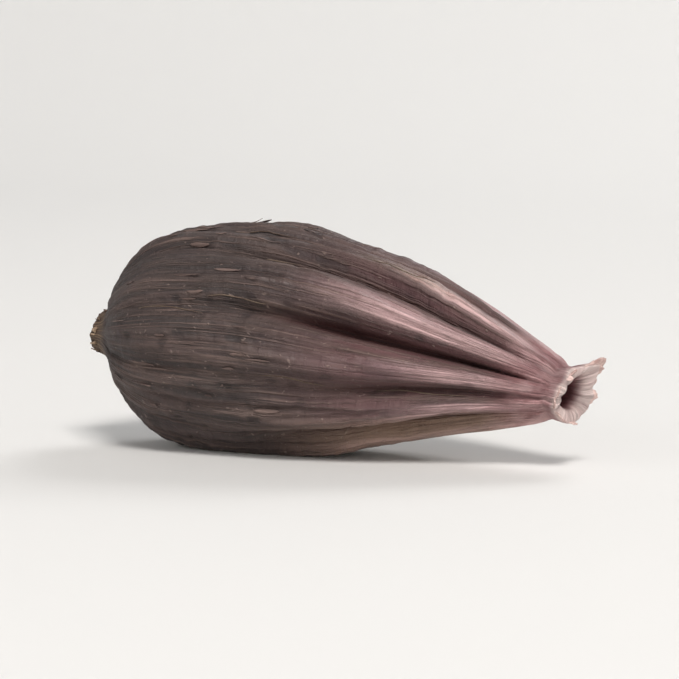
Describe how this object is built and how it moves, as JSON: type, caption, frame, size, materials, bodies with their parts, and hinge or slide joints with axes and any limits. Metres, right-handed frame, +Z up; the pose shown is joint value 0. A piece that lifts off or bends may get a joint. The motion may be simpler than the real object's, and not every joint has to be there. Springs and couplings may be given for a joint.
{
  "type": "black cardamom pod",
  "caption": "Dried black cardamom pod lying on its side: a closed, ribbed teardrop capsule with a small open collar at its pointed end and a broken stalk at its blunt end.",
  "frame": {"origin": "middle of the small flat spot of the belly that the pod rests on", "axes": "+X along the pod towards the open collar, +Z up, +Y to the left when looking along +X"},
  "size_m": [0.0245, 0.0109, 0.0104],
  "materials": {
    "husk": "dry fibrous husk, dull grey-brown with pinkish rib crests and dark red-brown furrows"
  },
  "bodies": {
    "root": {"pod": "husk"}
  },
  "joints": []
}
